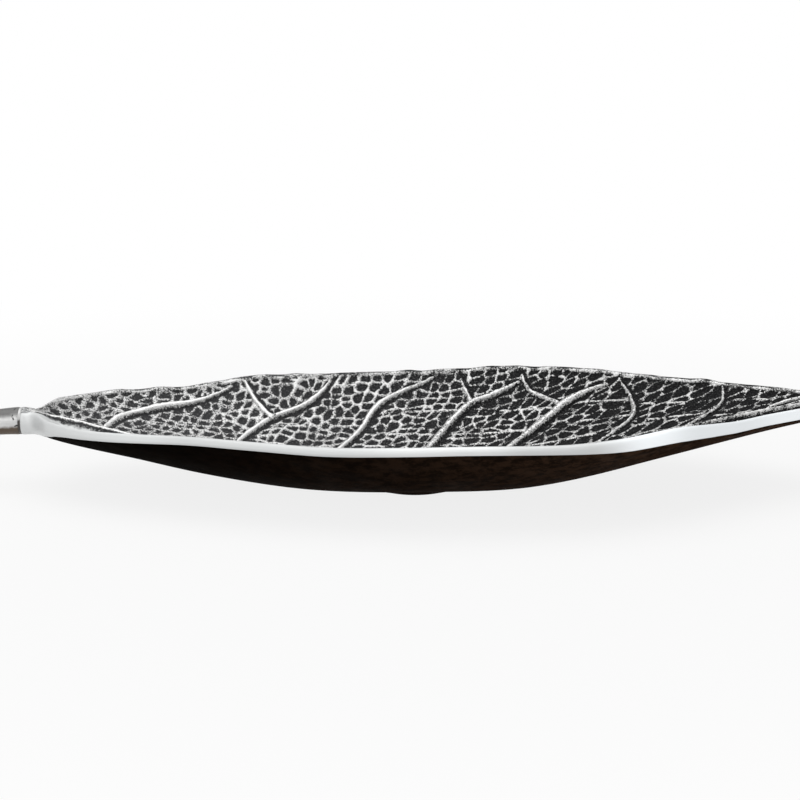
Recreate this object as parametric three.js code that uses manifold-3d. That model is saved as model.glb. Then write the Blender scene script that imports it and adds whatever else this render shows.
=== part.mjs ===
// A leaf-shaped serving tray of cast aluminium.
// The dish is one casting with its rim, midrib, side veins, the net of cross veins and a low round foot.
// The stem is a second casting, pinned and brazed to the heel of the dish. A felt disc covers the foot.
// Millimetres. X runs from the stem to the tip, Y across the leaf and Z up. The felt rests on z = 0.

import * as THREE from "three";
import { mergeVertices } from "three/addons/utils/BufferGeometryUtils.js";
import Module from "manifold-3d";

const wasm = await Module();
wasm.setup();

// Blade of the leaf
const BLADE_LENGTH = 395;
const BLADE_SPAN = 164;
const BOWL_DEPTH = 33;
const BOWL_POWER = 2.2;
const DEEPEST_SHARE = 0.48;
const TIP_RISE = 6.3;
const WAVE_HEIGHT = 1.4;
const WALL = 4.2;
const RIM_WALL = 5;
const RIM_SHARE = 0.15;

// Foot and felt
const FOOT_DIAMETER = 44;
const FOOT_SHARE = 0.465;
const FOOT_DRAFT = 1.5;
const FOOT_DROP = 0.5;
const FELT_THICKNESS = 1;
const FELT_MARGIN = 3;

// Relief of the face: heights are above the cross veins' tops, widths are at the floor of the pits
const MIDRIB_WIDTH = 8;
const MIDRIB_HEIGHT = 3.2;
const MIDRIB_TIP_SHARE = 0.3;
const MIDRIB_BLEND_SHARE = 0.055;
const KEEL_BLEND_SHARE = 0.13;
const VEIN_WIDTH = 5;
const VEIN_HEIGHT = 1.5;
const VEIN_TIP_SHARE = 0.5;
const VEIN_STAGGER_SHARE = 0.02;
const PIT_DEPTH = 0.9;
const PIT_END_SHARE = 0.03;
const RUNG_SPACING = 15;
const RUNG_WIDTH = 3.2;

// Stem and its joint
const STEM_DIAMETER = 13;
const STEM_WAIST_SHARE = 0.88;
const STEM_REACH = 48;
const STEM_DROOP = 7;
const STEM_BEND = 1.6;
const HEEL_SETBACK = 3;
const SHOULDER_LENGTH = 42;
const SHOULDER_SPREAD_SHARE = 0.3;
const SHOULDER_LIFT_SHARE = 0.6;
const BRAZE_WIDTH = 1.2;
const BRAZE_RECESS = 0.2;
const DOWEL_DIAMETER = 5;
const DOWEL_LENGTH = 20;
const DOWEL_CHAMFER = 0.6;
const FIT_GAP = 0.3;

// Facets: wall stations, strips across and steps round the edge, then rings and sides of the rods
const WALL_STEPS = [40, 16, 4];
const MIDRIB_STEPS = [24, 12];
const SHOULDER_STEPS = [10, 12];
const VEIN_STEPS = [6, 6];
const RUNG_STEPS = [2, 6];
const STEM_STEPS = [14, 24];
const ROUND_STEPS = 40;
const PIN_STEPS = 24;
const LINE_STEPS = 80;
const NUDGE_SHARE = 0.0005;
const WELD_GAP = 0.00001;

// Shares of the half span, of the depth and of the margins' waves, along the blade
const OUTLINE = [
  [0, 0.04], [0.035, 0.265], [0.085, 0.435], [0.15, 0.58], [0.26, 0.78],
  [0.43, 0.985], [0.6, 0.995], [0.7, 0.905], [0.85, 0.475], [1, 0.02],
];
const DEPTH = [
  [0, 0.13], [0.1, 0.405], [0.22, 0.74], [0.34, 0.96], [DEEPEST_SHARE, 1],
  [0.6, 0.95], [0.74, 0.595], [0.88, 0.25], [1, 0.03],
];
const REAR_WAVE = [
  [0, 0], [0.1, 0.36], [0.19, -0.71], [0.25, 1], [0.3, 0.71],
  [0.42, -0.5], [0.52, -0.36], [0.58, 0.86], [0.64, 0.43], [0.77, -0.36], [1, 0],
];
const FRONT_WAVE = [
  [0, 0], [0.05, 0.1], [0.09, -0.5], [0.145, -0.9], [0.215, -0.22],
  [0.29, -0.63], [0.365, -1.08], [0.44, -0.64], [0.52, -0.34], [0.62, -0.73],
  [0.69, -0.68], [0.755, -0.04], [0.83, -0.52], [0.875, -0.1], [1, -0.2],
];

// Side veins of the rear half, from the midrib to the margin: each has its share of the full vein size
// and its places as shares along the blade and across the half span
const VEINS = [
  { size: 1, places: [[0.075, 0], [0.097, 0.6], [0.15, 0.82], [0.23, 0.96]] },
  { size: 0.9, places: [[0.215, 0], [0.265, 0.6], [0.32, 0.8], [0.355, 0.97]] },
  { size: 0.9, places: [[0.32, 0], [0.4, 0.62], [0.43, 0.84], [0.49, 0.97]] },
  { size: 1, places: [[0.43, 0], [0.51, 0.63], [0.545, 0.8], [0.6, 0.92]] },
  { size: 1.1, places: [[0.535, 0], [0.615, 0.54], [0.66, 0.73], [0.715, 0.9]] },
  { size: 0.6, places: [[0.645, 0], [0.728, 0.43], [0.744, 0.69], [0.73, 0.97]] },
  { size: 0.6, places: [[0.765, 0], [0.837, 0.52], [0.85, 0.75], [0.853, 0.97]] },
  { size: 0.5, places: [[0.862, 0], [0.902, 0.44], [0.935, 0.8], [0.95, 0.95]] },
];
const BRANCHES = [
  { size: 0.7, places: [[0.286, 0.71], [0.262, 0.85], [0.248, 0.98]] },
  { size: 0.6, places: [[0.54, 0.79], [0.534, 0.87], [0.528, 0.95]] },
  { size: 0.6, places: [[0.656, 0.735], [0.625, 0.84], [0.608, 0.96]] },
];

// Sizes that follow from the ones above
const STEM_RADIUS = STEM_DIAMETER / 2;
const SEAM_X = (STEM_REACH + BRAZE_WIDTH - BLADE_LENGTH) / 2;
const TIP_X = SEAM_X + BLADE_LENGTH - RIM_WALL / 2;
const HEEL_X = SEAM_X + HEEL_SETBACK;
const SOLE_Z = FELT_THICKNESS;
const RIM_Z = SOLE_Z + FOOT_DROP + WALL / 2 + BOWL_DEPTH;
const STEM_Z = RIM_Z - TIP_RISE * DEEPEST_SHARE - RIM_WALL / 2;
const FOOT_X = THREE.MathUtils.lerp(HEEL_X, TIP_X, FOOT_SHARE);
const ROOT_DEPTH = (WALL - PIT_DEPTH) / 2;
const BORE_RADIUS = (DOWEL_DIAMETER + FIT_GAP) / 2;
const BORE_REACH = (DOWEL_LENGTH - BRAZE_WIDTH) / 2 + FIT_GAP;

// A smooth curve through a few points
function through(points) {
  const last = points.length - 1;
  const slope = points.map((point, i) => {
    const before = points[Math.max(i - 1, 0)];
    const after = points[Math.min(i + 1, last)];
    return (after[1] - before[1]) / (after[0] - before[0]);
  });
  return (share) => {
    const at = THREE.MathUtils.clamp(share, points[0][0], points[last][0]);
    let i = 0;
    while (i < last - 1 && at > points[i + 1][0]) i += 1;
    const width = points[i + 1][0] - points[i][0];
    const t = (at - points[i][0]) / width;
    const rise = points[i + 1][1] - points[i][1];
    const ease = t * t * (3 - 2 * t);
    const leave = t * (1 - t) * (1 - t) * width * slope[i];
    const arrive = t * t * (t - 1) * width * slope[i + 1];
    return points[i][1] + rise * ease + leave + arrive;
  };
}

const outline = through(OUTLINE);
const depth = through(DEPTH);
const rearWave = through(REAR_WAVE);
const frontWave = through(FRONT_WAVE);
const { lerp, smoothstep } = THREE.MathUtils;

// Middle of the wall at a share along the blade (0 heel, 1 tip) and across it (-1 front, 1 rear)
function middle(along, across) {
  const off = Math.abs(across);
  const wave = across > 0 ? rearWave(along) : frontWave(along);
  const rim = RIM_Z + TIP_RISE * (along - DEEPEST_SHARE) + WAVE_HEIGHT * wave * off ** 4;
  const drop = BOWL_DEPTH * depth(along) * (1 - off ** BOWL_POWER);
  const x = lerp(HEEL_X, TIP_X, along);
  return new THREE.Vector3(x, across * outline(along) * BLADE_SPAN / 2, rim - drop);
}

// Directions at the same place: along the blade, across it, and up out of the wall
function directions(along, across) {
  const ahead = middle(Math.min(along + NUDGE_SHARE, 1), across);
  const behind = middle(Math.max(along - NUDGE_SHARE, 0), across);
  const rear = middle(along, across + NUDGE_SHARE);
  const front = middle(along, across - NUDGE_SHARE);
  const sideways = rear.sub(front).normalize();
  const up = ahead.sub(behind).cross(sideways).normalize();
  return { forward: sideways.clone().cross(up), sideways, up };
}

function thickness(across) {
  return lerp(WALL, RIM_WALL, smoothstep(Math.abs(across), 1 - RIM_SHARE, 1));
}

// Depth of the face between the veins, which dies out at the rim, the heel and the tip
function pitDepth(along, across) {
  const fromRim = smoothstep(1 - Math.abs(across), 0, RIM_SHARE);
  const fromEnds = smoothstep(Math.min(along, 1 - along), 0, PIT_END_SHARE);
  return PIT_DEPTH * fromRim * fromEnds;
}

// A point at the level of the cross veins' tops, raised out of it
function onSkin(along, across, raise) {
  const { up } = directions(along, across);
  return middle(along, across).addScaledVector(up, thickness(across) / 2 + raise);
}

// The bare wall with a round edge: a slab formed to the leaf, its stations crowded toward heel and tip
function wallForm() {
  const form = new THREE.BoxGeometry(1, 1, 1, ...WALL_STEPS);
  const position = form.getAttribute("position");
  for (let i = 0; i < position.count; i += 1) {
    const station = position.getX(i) + 0.5;
    const across = position.getY(i) * 2;
    const turn = position.getZ(i) * Math.PI;
    const along = (1 - Math.cos(station * Math.PI)) / 2;
    const { forward, sideways, up } = directions(along, across);
    const half = thickness(across) / 2;
    const sunk = pitDepth(along, across) * Math.max(Math.sin(turn), 0);
    const point = middle(along, across).addScaledVector(up, half * Math.sin(turn) - sunk);
    const atTip = station > 1 - NUDGE_SHARE;
    if (atTip || Math.abs(across) > 1 - NUDGE_SHARE) {
      const swing = across * Math.PI / 2;
      const ahead = atTip ? Math.cos(swing) : 0;
      const aside = atTip ? Math.sin(swing) : Math.sign(across);
      point.addScaledVector(forward, half * Math.cos(turn) * ahead);
      point.addScaledVector(sideways, half * Math.cos(turn) * aside);
    }
    position.setXYZ(i, point.x, point.y, point.z);
  }
  return form;
}

// A rod along a path, with its half width, its height above the path and its depth below it; where no
// upward direction is given, the sections stand upright and square to X
function rodForm({ path, upward, wide, tall, deep }, [rings, sides]) {
  const form = new THREE.CylinderGeometry(1, 1, 1, sides, rings);
  const position = form.getAttribute("position");
  for (let i = 0; i < position.count; i += 1) {
    const t = position.getY(i) + 0.5;
    const ahead = new THREE.Vector3(1, 0, 0);
    const up = new THREE.Vector3(0, 0, 1);
    if (upward) {
      const before = path(Math.max(t - NUDGE_SHARE, 0));
      ahead.copy(path(Math.min(t + NUDGE_SHARE, 1))).sub(before).normalize();
      up.copy(upward(t));
    }
    const aside = up.cross(ahead).normalize();
    const above = ahead.clone().cross(aside);
    const lift = -position.getZ(i);
    const point = path(t).addScaledVector(aside, position.getX(i) * wide(t));
    point.addScaledVector(above, lift * (lift > 0 ? tall(t) : deep(t)));
    position.setXYZ(i, point.x, point.y, point.z);
  }
  return form;
}

// A pin or a bore along X
function pinForm(radius, from, to) {
  const form = new THREE.CylinderGeometry(radius, radius, to - from, PIN_STEPS);
  form.rotateZ(-Math.PI / 2);
  form.translate((from + to) / 2, 0, STEM_Z);
  return form;
}

function solid(form) {
  form.deleteAttribute("normal");
  form.deleteAttribute("uv");
  const merged = mergeVertices(form, WELD_GAP);
  const mesh = new wasm.Mesh({
    numProp: 3,
    vertProperties: new Float32Array(merged.getAttribute("position").array),
    triVerts: new Uint32Array(merged.index.array),
  });
  mesh.merge();
  return new wasm.Manifold(mesh);
}

function piece(name, body, material) {
  const mesh = body.getMesh();
  const geometry = new THREE.BufferGeometry();
  geometry.setAttribute("position", new THREE.BufferAttribute(mesh.vertProperties, 3));
  geometry.setIndex(new THREE.BufferAttribute(mesh.triVerts, 1));
  geometry.computeVertexNormals();
  const made = new THREE.Mesh(geometry, material);
  made.name = name;
  return made;
}

// The midrib carries the stem's round end on into the blade and thins toward the tip; below, the stem runs
// out more slowly as a keel
function midribForm() {
  const reach = BLADE_LENGTH - 2 * RIM_WALL;
  const straight = BORE_REACH / reach;
  const taper = (t) => lerp(1, MIDRIB_TIP_SHARE, t);
  const grown = (t, size) => lerp(STEM_RADIUS, size, smoothstep(t, straight, MIDRIB_BLEND_SHARE));
  const deep = (t) => lerp(STEM_RADIUS, ROOT_DEPTH, smoothstep(t, straight, KEEL_BLEND_SHARE));
  const path = (t) => {
    const x = SEAM_X + reach * t;
    const along = Math.max((x - HEEL_X) / (TIP_X - HEEL_X), 0);
    const floor = onSkin(along, 0, -PIT_DEPTH).z;
    return new THREE.Vector3(x, 0, STEM_Z - STEM_RADIUS + grown(t, floor - STEM_Z + STEM_RADIUS));
  };
  const wide = (t) => grown(t, taper(t) * MIDRIB_WIDTH / 2);
  const tall = (t) => grown(t, PIT_DEPTH + taper(t) * MIDRIB_HEIGHT);
  return rodForm({ path, wide, tall, deep }, MIDRIB_STEPS);
}

// The margin's swelling that runs out of the stem along one side of the heel
function shoulderForm(side) {
  const radius = (t) => lerp(RIM_WALL / 2, STEM_RADIUS, (1 - t) * (1 - t));
  const path = (t) => {
    const x = SEAM_X + SHOULDER_LENGTH * t;
    const along = Math.max((x - HEEL_X) / (TIP_X - HEEL_X), 0);
    const edge = middle(along, side);
    const spread = smoothstep(t, 0, SHOULDER_SPREAD_SHARE);
    const lift = smoothstep(t, 0, SHOULDER_LIFT_SHARE);
    return new THREE.Vector3(x, edge.y * spread, lerp(STEM_Z, edge.z, lift));
  };
  return rodForm({ path, wide: radius, tall: radius, deep: radius }, SHOULDER_STEPS);
}

// A line of places given as shares
function veinLine({ places }) {
  return new THREE.SplineCurve(places.map(([along, across]) => new THREE.Vector2(along, across)));
}

// The front half has the same veins, a little nearer to the heel
function stagger(side) {
  return side < 0 ? VEIN_STAGGER_SHARE : 0;
}

// A ridge that stands on the floor of the pits and is rooted in the wall, along places given as shares
function ridgeForm(place, wide, tall, steps) {
  const path = (t) => {
    const { x, y } = place(t);
    return onSkin(x, y, -PIT_DEPTH);
  };
  const upward = (t) => {
    const { x, y } = place(t);
    return directions(x, y).up;
  };
  return rodForm({ path, upward, wide, tall, deep: () => ROOT_DEPTH }, steps);
}

// A side vein thins toward the margin
function veinForm(vein, side) {
  const line = veinLine(vein);
  const place = (t) => {
    const { x, y } = line.getPoint(t);
    return { x: x - stagger(side), y: side * y };
  };
  const taper = (t) => vein.size * lerp(1, VEIN_TIP_SHARE, t);
  const wide = (t) => taper(t) * VEIN_WIDTH / 2;
  const tall = (t) => PIT_DEPTH + taper(t) * VEIN_HEIGHT;
  return ridgeForm(place, wide, tall, VEIN_STEPS);
}

// Where a vein's line reaches a share of the half span
function meeting(vein, across) {
  const places = veinLine(vein).getPoints(LINE_STEPS);
  const met = places.find((place) => place.y >= across) ?? places[LINE_STEPS];
  return met.x;
}

// A cross vein runs from one side vein to the next and is as tall as the pits are deep
function rungForm(vein, next, across, side) {
  const from = meeting(vein, across) - stagger(side);
  const to = meeting(next, across) - stagger(side);
  const place = (t) => ({ x: lerp(from, to, t), y: side * across });
  return ridgeForm(place, () => RUNG_WIDTH / 2, () => PIT_DEPTH, RUNG_STEPS);
}

// The cross veins of one half, evenly spaced from the midrib toward the margin
function rungForms(side) {
  const forms = [];
  for (let i = 0; i + 1 < VEINS.length; i += 1) {
    const [vein, next] = [VEINS[i], VEINS[i + 1]];
    const between = (vein.places[1][0] + next.places[1][0]) / 2;
    const gap = RUNG_SPACING / (outline(between) * BLADE_SPAN / 2);
    for (let across = gap; across < 1 - RIM_SHARE; across += gap) {
      forms.push(rungForm(vein, next, across, side));
    }
  }
  return forms;
}

// The foot: a low drafted disc whose top reaches into the wall
function footForm() {
  const sole = FOOT_DIAMETER / 2;
  const form = new THREE.CylinderGeometry(sole + FOOT_DRAFT, sole, 1, ROUND_STEPS);
  form.rotateX(Math.PI / 2);
  form.translate(FOOT_X, 0, SOLE_Z);
  const position = form.getAttribute("position");
  for (let i = 0; i < position.count; i += 1) {
    const x = position.getX(i);
    const y = position.getY(i);
    const along = (x - HEEL_X) / (TIP_X - HEEL_X);
    const across = y / (outline(along) * BLADE_SPAN / 2);
    const inWall = position.getZ(i) > SOLE_Z;
    position.setZ(i, inWall ? middle(along, across).z : SOLE_Z);
  }
  return form;
}

function dishBody() {
  let body = solid(wallForm()).add(solid(midribForm())).add(solid(footForm()));
  for (const side of [1, -1]) {
    body = body.add(solid(shoulderForm(side)));
    for (const vein of [...VEINS, ...BRANCHES]) {
      body = body.add(solid(veinForm(vein, side)));
    }
    for (const form of rungForms(side)) {
      body = body.add(solid(form));
    }
  }
  const behind = new THREE.BoxGeometry(STEM_REACH, BLADE_SPAN, STEM_REACH);
  behind.translate(SEAM_X - STEM_REACH / 2, 0, STEM_Z);
  body = body.subtract(solid(behind));
  return body.subtract(solid(pinForm(BORE_RADIUS, SEAM_X - WALL, SEAM_X + BORE_REACH)));
}

// The stem droops away from the joint, narrows at its waist and flares at its cut end
function stemBody() {
  const start = SEAM_X - BRAZE_WIDTH;
  const path = (t) => {
    const away = 1 - t;
    const z = STEM_Z - STEM_DROOP * away ** STEM_BEND;
    return new THREE.Vector3(start - STEM_REACH * away, 0, z);
  };
  const radius = (t) => STEM_RADIUS * lerp(1, STEM_WAIST_SHARE, Math.sin(Math.PI * t));
  const rod = solid(rodForm({ path, wide: radius, tall: radius, deep: radius }, STEM_STEPS));
  return rod.subtract(solid(pinForm(BORE_RADIUS, start - BORE_REACH, start + WALL)));
}

function brazeBody() {
  const ring = solid(pinForm(STEM_RADIUS - BRAZE_RECESS, SEAM_X - BRAZE_WIDTH, SEAM_X));
  return ring.subtract(solid(pinForm(BORE_RADIUS, SEAM_X - 2 * BRAZE_WIDTH, SEAM_X + BRAZE_WIDTH)));
}

function dowelBody() {
  const radius = DOWEL_DIAMETER / 2;
  const end = DOWEL_LENGTH / 2;
  const profile = [
    new THREE.Vector2(0, -end),
    new THREE.Vector2(radius - DOWEL_CHAMFER, -end),
    new THREE.Vector2(radius, -end + DOWEL_CHAMFER),
    new THREE.Vector2(radius, end - DOWEL_CHAMFER),
    new THREE.Vector2(radius - DOWEL_CHAMFER, end),
    new THREE.Vector2(0, end),
  ];
  const form = new THREE.LatheGeometry(profile, PIN_STEPS);
  form.rotateZ(-Math.PI / 2);
  form.translate(SEAM_X - BRAZE_WIDTH / 2, 0, STEM_Z);
  return solid(form);
}

function feltBody() {
  const radius = FOOT_DIAMETER / 2 - FELT_MARGIN;
  const form = new THREE.CylinderGeometry(radius, radius, FELT_THICKNESS, ROUND_STEPS);
  form.rotateX(Math.PI / 2);
  form.translate(FOOT_X, 0, FELT_THICKNESS / 2);
  return solid(form);
}

const castMetal = new THREE.MeshStandardMaterial({ color: 0x8d8d8a, metalness: 0.9, roughness: 0.4 });
const stemMetal = new THREE.MeshStandardMaterial({ color: 0xb4b3ae, metalness: 0.9, roughness: 0.3 });
const pinSteel = new THREE.MeshStandardMaterial({ color: 0x9aa0a4, metalness: 1, roughness: 0.35 });
const filler = new THREE.MeshStandardMaterial({ color: 0x4a4742, metalness: 0.8, roughness: 0.55 });
const felt = new THREE.MeshStandardMaterial({ color: 0x1d1b1a, metalness: 0, roughness: 0.95 });

const tray = new THREE.Group();
tray.name = "leaf_tray";
tray.add(piece("leaf_dish", dishBody(), castMetal));
tray.add(piece("stem", stemBody(), stemMetal));
tray.add(piece("stem_dowel", dowelBody(), pinSteel));
tray.add(piece("braze_seam", brazeBody(), filler));
tray.add(piece("felt_pad", feltBody(), felt));

export default tray;
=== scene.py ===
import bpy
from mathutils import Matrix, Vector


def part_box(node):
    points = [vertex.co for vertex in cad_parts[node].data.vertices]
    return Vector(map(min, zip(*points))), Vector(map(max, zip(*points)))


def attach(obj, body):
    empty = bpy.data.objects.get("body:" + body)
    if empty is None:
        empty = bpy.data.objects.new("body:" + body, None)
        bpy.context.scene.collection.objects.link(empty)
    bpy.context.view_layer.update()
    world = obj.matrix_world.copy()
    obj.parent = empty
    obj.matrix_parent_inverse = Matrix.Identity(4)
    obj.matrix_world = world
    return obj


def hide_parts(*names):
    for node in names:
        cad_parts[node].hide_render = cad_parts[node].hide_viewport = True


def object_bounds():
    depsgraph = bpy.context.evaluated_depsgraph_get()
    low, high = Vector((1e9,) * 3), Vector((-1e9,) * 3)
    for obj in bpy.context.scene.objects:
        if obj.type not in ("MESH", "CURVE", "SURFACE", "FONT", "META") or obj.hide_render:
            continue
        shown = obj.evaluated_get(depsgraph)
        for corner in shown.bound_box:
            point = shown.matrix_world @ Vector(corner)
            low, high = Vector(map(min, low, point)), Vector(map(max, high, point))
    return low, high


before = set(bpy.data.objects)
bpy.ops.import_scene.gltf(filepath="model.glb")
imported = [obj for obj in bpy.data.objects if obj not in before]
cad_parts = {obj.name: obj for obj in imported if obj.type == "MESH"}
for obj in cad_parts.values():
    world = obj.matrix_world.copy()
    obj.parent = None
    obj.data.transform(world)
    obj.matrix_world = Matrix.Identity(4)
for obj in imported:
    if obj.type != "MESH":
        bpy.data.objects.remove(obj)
CAD_BOX = [list(corner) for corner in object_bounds()]

import math

import bmesh
import bpy
import numpy as np
from mathutils import Vector

bl_info = {
    "name": "Leaf Tray",
    "version": (1, 0, 0),
    "blender": (4, 5, 0),
    "location": "View3D > Sidebar > Leaf Tray",
    "description": "Dresses the solids of a cast leaf-shaped tray with its relief and finishes",
    "category": "Object",
}

# Places and sizes that come from the solids, in metres
_, DISH_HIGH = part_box("leaf_dish")
STEM_LOW, STEM_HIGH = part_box("stem")
SEAM_LOW, SEAM_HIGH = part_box("braze_seam")
FELT_LOW, FELT_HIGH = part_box("felt_pad")
MM = 0.001

# Along the blade, by shares of its length: the half span and the bowl's depth as shares, the waves of
# both margins in wave heights, and how much thicker the front rim is, in wave heights too
OUTLINE = [
    (0, 0.04), (0.035, 0.265), (0.085, 0.435), (0.15, 0.58), (0.26, 0.78),
    (0.43, 0.985), (0.6, 0.995), (0.7, 0.905), (0.85, 0.475), (1, 0.02),
]
DEEPEST = 0.48
DEPTH = [
    (0, 0.13), (0.1, 0.405), (0.22, 0.74), (0.34, 0.96), (DEEPEST, 1),
    (0.6, 0.95), (0.74, 0.595), (0.88, 0.25), (1, 0.03),
]
REAR_WAVE = [
    (0, 0.3), (0.02, 1.2), (0.04, 0.9), (0.065, 0.9), (0.095, 1.05), (0.12, 0), (0.14, 0.05),
    (0.16, -0.45), (0.18, -0.55), (0.2, 0), (0.22, 0.4), (0.24, 1.2), (0.262, 1.3), (0.3, 0.75),
    (0.42, -0.5), (0.52, -0.36), (0.58, 0.8), (0.64, 0.4), (0.77, -0.36), (0.81, 0.1), (0.85, 0.1),
    (0.9, -0.2), (1, 0),
]
FRONT_WAVE = [
    (0, 0), (0.02, -0.5), (0.05, -0.95), (0.09, -1.3), (0.145, -0.95), (0.215, -0.22), (0.29, -0.63),
    (0.365, -1.08), (0.44, -0.64), (0.52, -0.34), (0.62, -0.73), (0.69, -0.68), (0.755, -0.04),
    (0.83, -0.52), (0.875, -0.1), (1, -0.2),
]
FRONT_SWELL = [
    (0.6, 0), (0.63, 0.2), (0.666, 0.9), (0.715, 1.4), (0.755, 1.5), (0.8, 0.7), (0.83, 0.1), (0.85, 0),
]
# How much of that swelling lifts the rim's middle line
SWELL_LIFT = 0.45
# Small knobs of the rear margin: how many along the blade, and their height in wave heights
KNOBS = 48
KNOB_HEIGHT = 0.6
# From the seam to where the bowl has its full depth
BOWL_START = 22 * MM

# Side veins of the rear half: size, then shares along the blade and across the half span, from the
# midrib to the margin. The front half has the same veins, a little nearer to the heel.
VEINS = [
    (0.95, [(0.075, 0), (0.086, 0.36), (0.097, 0.6), (0.114, 0.71), (0.153, 0.825), (0.193, 0.874),
            (0.231, 0.966)]),
    (0.9, [(0.215, 0), (0.248, 0.46), (0.266, 0.61), (0.286, 0.71), (0.323, 0.805), (0.345, 0.9),
           (0.356, 0.97)]),
    (0.9, [(0.32, 0), (0.376, 0.443), (0.4, 0.626), (0.411, 0.745), (0.43, 0.84), (0.465, 0.911),
           (0.491, 0.971)]),
    (1.1, [(0.43, 0), (0.484, 0.406), (0.511, 0.634), (0.54, 0.79), (0.562, 0.826), (0.585, 0.875),
           (0.603, 0.92)]),
    (1.2, [(0.535, 0), (0.585, 0.371), (0.617, 0.538), (0.646, 0.675), (0.658, 0.735), (0.685, 0.823),
           (0.716, 0.9)]),
    (0.4, [(0.645, 0), (0.698, 0.261), (0.728, 0.432), (0.742, 0.57), (0.744, 0.69), (0.741, 0.82),
           (0.731, 0.97)]),
    (0.32, [(0.765, 0), (0.802, 0.243), (0.837, 0.522), (0.848, 0.69), (0.852, 0.845), (0.853, 0.97)]),
    (0.45, [(0.862, 0), (0.885, 0.22), (0.902, 0.441), (0.936, 0.795), (0.95, 0.95)]),
    (0.8, [(0.284, 0.71), (0.27, 0.792), (0.259, 0.875), (0.248, 0.985)]),
    (0.55, [(0.54, 0.79), (0.536, 0.854), (0.531, 0.91), (0.528, 0.95)]),
    (0.6, [(0.655, 0.735), (0.638, 0.797), (0.621, 0.844), (0.613, 0.891), (0.608, 0.96)]),
]
# The first eight run from the midrib, and the others branch off them
MAIN_VEINS = 8
STAGGER = 0.02
# How far the cross veins go towards the margin, as a share of the half span
RUNG_END = 0.85

# The pits along the blade: factors on their length and width, how crowded they are beside the midrib,
# the width of the ridges between them in pits, and how bright these are worn, in all and at least
PIT_LENGTH = [(0, 0.85), (0.2, 0.78), (0.35, 0.84), (0.6, 1.15), (0.8, 1.4), (1, 1.2)]
PIT_WIDTH = [(0, 0.85), (0.3, 1), (0.6, 1.1), (0.8, 1.2), (1, 0.9)]
PIT_CROWD = [(0, 1), (0.3, 0.9), (0.5, 0.7), (0.65, 0.5), (1, 0.45)]
RIDGE_WIDTH = [(0, 0.28), (0.16, 0.25), (0.35, 0.165), (0.55, 0.1), (0.75, 0.07), (1, 0.07)]
RIDGE_TONE = [(0, 0.5), (0.15, 0.53), (0.35, 0.82), (0.5, 0.74), (0.6, 0.75), (0.75, 0.58), (1, 0.56)]
RIDGE_LEAST = [(0, 0.8), (0.2, 0.7), (0.4, 0.5), (1, 0.5)]

# How wide a vein and a branch are along their length, and how high the midrib is and where round the
# rim the dark underside starts, by millimetres from the seam
VEIN_SWELL = [(0, 0.4), (0.3, 0.58), (0.45, 0.78), (0.6, 1), (0.75, 1), (0.9, 0.65), (1, 0.3)]
BRANCH_SWELL = [(0, 1.15), (0.25, 0.95), (0.6, 0.8), (1, 0.5)]
MIDRIB_RISE = [(0, 0), (4, 0), (8, 0.15), (12, 0.5), (20, 1.25), (36, 1.15), (55, 1)]
UNDERSIDE_START = [(0, 2.05), (6, 1.75), (9, 1.35), (13, 1.02), (20, 0.84), (40, 0.66)]
# How far a vein's shadow side lies from its line, and how much darker that side is left: on the first
# vein, and on the others
SHADOW_SIDE = 1.7 * MM
SHADOW_TONES = (0.2, 0.6)

# Painted light on the polished rim: a factor on its colour at the heel, and the lighter and darker tones that
# follow along the tray, brightest and bluish towards the tip, for how light falls on it and reflects: where
# each begins and is full, in metres, its colour and a factor
RIM_HEEL_LIGHT = 1.03
RIM_PAINTED_LIGHT = [
    (-0.112, -0.085, "rim", 0.92), (-0.022, 0.012, "rim", 1.09), (0.038, 0.06, "rim", 0.92),
    (0.084, 0.112, "tip", 1), (0.114, 0.136, "tip", 0.85), (0.156, 0.18, "tip", 0.95),
]

# One seed for each noise, and how many random values each has along and across
SEEDS = {
    "warp": 1, "sway": 2, "pits": 3, "ridge_width": 4, "margin": 5, "ridge_tone": 6, "torn": 7, "rear_rim": 8,
    "knots": 11, "rear_edge": 12, "rungs": 13, "midrib": 14, "fine_torn": 17, "stem": 21, "knobs": 31,
}
LATTICE = 256

# Mesh steps: along the dish, across its face, round each edge, across its underside and round its tip,
# then along and round the stem, and round the felt
DISH_STEPS = 760
FACE_STEPS = 320
EDGE_STEPS = 12
UNDER_STEPS = 80
NOSE_STEPS = 7
STEM_RINGS = 120
STEM_SIDES = 72
FELT_SIDES = 96
# What the dish is thinned to
MOST_TRIANGLES = 194000
# Vertices that are nearer than this, in metres, become one
WELD = 1e-7


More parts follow.
